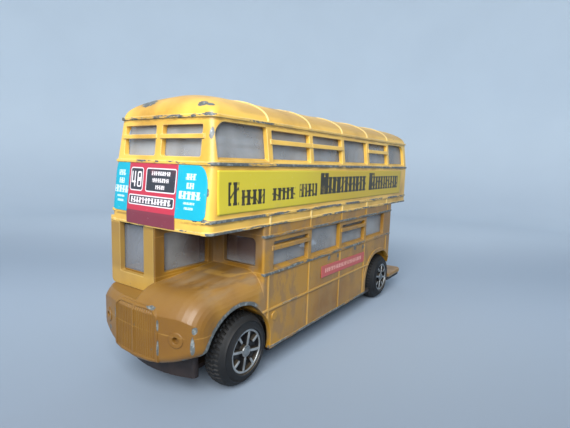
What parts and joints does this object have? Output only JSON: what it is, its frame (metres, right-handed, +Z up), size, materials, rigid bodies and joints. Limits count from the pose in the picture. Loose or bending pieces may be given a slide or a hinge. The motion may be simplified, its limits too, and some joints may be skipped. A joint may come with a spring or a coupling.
{
  "type": "toy double-decker bus",
  "caption": "Die-cast toy double-decker bus with a half cab, an open rear platform and wheels that turn.",
  "frame": {"origin": "on the ground under the middle of the bus's length, on its centre line", "axes": "+X forward along the bus, +Y to its nearside (left), +Z up"},
  "size_m": [0.1213, 0.0332, 0.0654],
  "materials": {
    "upper_paint": "worn gloss enamel",
    "lower_paint": "worn gloss enamel, dusty",
    "base_black": "matt black",
    "steel": "bright",
    "clear": "clear, dusty",
    "seat_cream": "satin moulded",
    "wheel_black": "satin moulded",
    "trim_silver": "hot foil",
    "label_red": "paper label",
    "label_cyan": "paper label",
    "label_yellow": "paper label"
  },
  "bodies": {
    "root": {"upper_body": "upper_paint", "lower_body": "lower_paint", "baseplate": "base_black", "base_rivets": "steel", "upper_glazing": "clear", "lower_glazing": "clear", "cab_glazing": "clear", "upper_deck_seats": "seat_cream", "lower_deck_seats": "seat_cream", "staircase": "seat_cream", "driver_seat": "seat_cream", "steering_wheel": "base_black", "front_route_panel": "label_red", "front_poster_near": "label_cyan", "front_poster_off": "label_cyan", "side_advert_near": "label_yellow", "side_advert_off": "label_yellow", "fleet_strip_near": "label_red", "fleet_strip_off": "label_red", "rear_label": "label_yellow"},
    "front_axle": {"front_axle": "steel"},
    "front_wheel_near": {"front_wheel_near": "wheel_black", "front_trim_near": "trim_silver"},
    "front_wheel_off": {"front_wheel_off": "wheel_black", "front_trim_off": "trim_silver"},
    "rear_axle": {"rear_axle": "steel"},
    "rear_wheel_near": {"rear_wheel_near": "wheel_black", "rear_trim_near": "trim_silver"},
    "rear_wheel_off": {"rear_wheel_off": "wheel_black", "rear_trim_off": "trim_silver"}
  },
  "joints": [
    {"name": "front_axle_spin", "type": "hinge", "parent": "root", "child": "front_axle", "pos_m": [0.0426, 0, 0.0084], "axis": [0, 1, 0], "continuous": true},
    {"name": "front_wheel_near_spin", "type": "hinge", "parent": "front_axle", "child": "front_wheel_near", "pos_m": [0.0426, 0, 0.0084], "axis": [0, 1, 0], "continuous": true},
    {"name": "front_wheel_off_spin", "type": "hinge", "parent": "front_axle", "child": "front_wheel_off", "pos_m": [0.0426, 0, 0.0084], "axis": [0, 1, 0], "continuous": true},
    {"name": "rear_axle_spin", "type": "hinge", "parent": "root", "child": "rear_axle", "pos_m": [-0.0371, 0, 0.0084], "axis": [0, 1, 0], "continuous": true},
    {"name": "rear_wheel_near_spin", "type": "hinge", "parent": "rear_axle", "child": "rear_wheel_near", "pos_m": [-0.0371, 0, 0.0084], "axis": [0, 1, 0], "continuous": true},
    {"name": "rear_wheel_off_spin", "type": "hinge", "parent": "rear_axle", "child": "rear_wheel_off", "pos_m": [-0.0371, 0, 0.0084], "axis": [0, 1, 0], "continuous": true}
  ]
}
